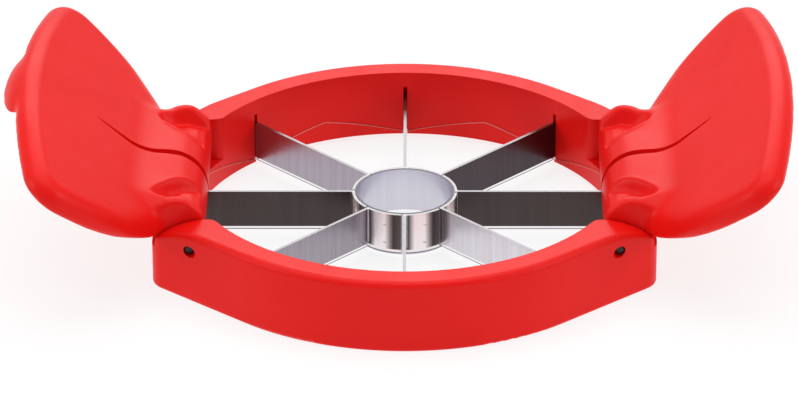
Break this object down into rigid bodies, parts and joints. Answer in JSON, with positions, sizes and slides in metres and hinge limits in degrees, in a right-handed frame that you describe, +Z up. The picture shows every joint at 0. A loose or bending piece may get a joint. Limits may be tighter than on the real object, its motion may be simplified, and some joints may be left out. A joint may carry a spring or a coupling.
{
  "type": "apple slicer",
  "caption": "Round apple corer and slicer with radial steel blades round a core tube, in a plastic ring frame with two folding press handles.",
  "frame": {"origin": "axis of the core tube, at the plane the frame stands on", "axes": "+X from the left handle (the one with the lift tab) to the right handle, +Z up out of the side the apple enters"},
  "size_m": [0.1784, 0.111, 0.0412],
  "materials": {
    "red_plastic": "satin-gloss moulded plastic",
    "steel": "fine vertical brushing, ground edges",
    "pin_steel": "drawn wire"
  },
  "bodies": {
    "slicer": {"frame_ring": "red_plastic", "blade_retaining_ring": "red_plastic", "core_tube": "steel", "blade_1": "steel", "blade_2": "steel", "blade_3": "steel", "blade_4": "steel", "blade_5": "steel", "blade_6": "steel", "blade_7": "steel", "blade_8": "steel", "left_hinge_pin_near": "pin_steel", "left_hinge_pin_far": "pin_steel", "right_hinge_pin_near": "pin_steel", "right_hinge_pin_far": "pin_steel"},
    "left_handle": {"left_handle_shell": "red_plastic", "left_handle_back_cover": "red_plastic"},
    "right_handle": {"right_handle_shell": "red_plastic", "right_handle_back_cover": "red_plastic"}
  },
  "joints": [
    {"name": "left_handle_fold", "type": "hinge", "parent": "slicer", "child": "left_handle", "pos_m": [-0.048, 0, 0.0126], "axis": [0, 1, 0], "range_deg": [0, 139.5]},
    {"name": "right_handle_fold", "type": "hinge", "parent": "slicer", "child": "right_handle", "pos_m": [0.048, 0, 0.0126], "axis": [0, -1, 0], "range_deg": [0, 139.5]}
  ]
}
